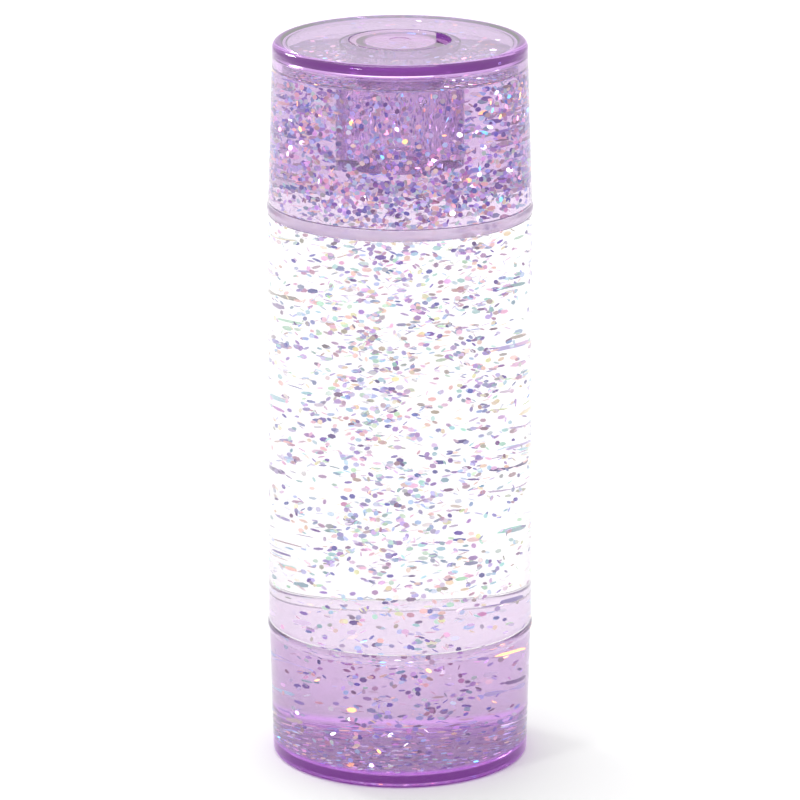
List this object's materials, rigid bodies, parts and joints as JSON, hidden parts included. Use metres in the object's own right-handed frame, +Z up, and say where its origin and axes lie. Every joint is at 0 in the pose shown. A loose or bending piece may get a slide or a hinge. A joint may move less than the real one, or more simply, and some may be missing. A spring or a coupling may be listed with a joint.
{
  "type": "liquid glitter tube",
  "caption": "Sealed clear tube of liquid and drifting glitter between two translucent purple caps, with a push-in filler plug in its lid.",
  "frame": {"origin": "centre of the flat ring that the base cap stands on", "axes": "+Z up along the tube, from the base cap to the lid; the filler plug's pry notch faces +X"},
  "size_m": [0.0556, 0.0556, 0.1524],
  "materials": {
    "cap_purple": "polished translucent purple polystyrene",
    "plug_purple": "polished translucent purple, softer polyethylene",
    "tube_clear": "water-clear polished polystyrene",
    "liquid_clear": "clear thickened liquid",
    "glitter": "iridescent polyester film flakes"
  },
  "bodies": {
    "vessel": {"base_cap": "cap_purple", "clear_tube": "tube_clear", "top_cap": "cap_purple", "liquid": "liquid_clear", "glitter_bed": "glitter"},
    "plug": {"filler_plug": "plug_purple"}
  },
  "joints": [
    {"name": "plug_pull", "type": "slide", "parent": "vessel", "child": "plug", "axis": [0, 0, 1], "range_m": [0, 0.03]}
  ]
}
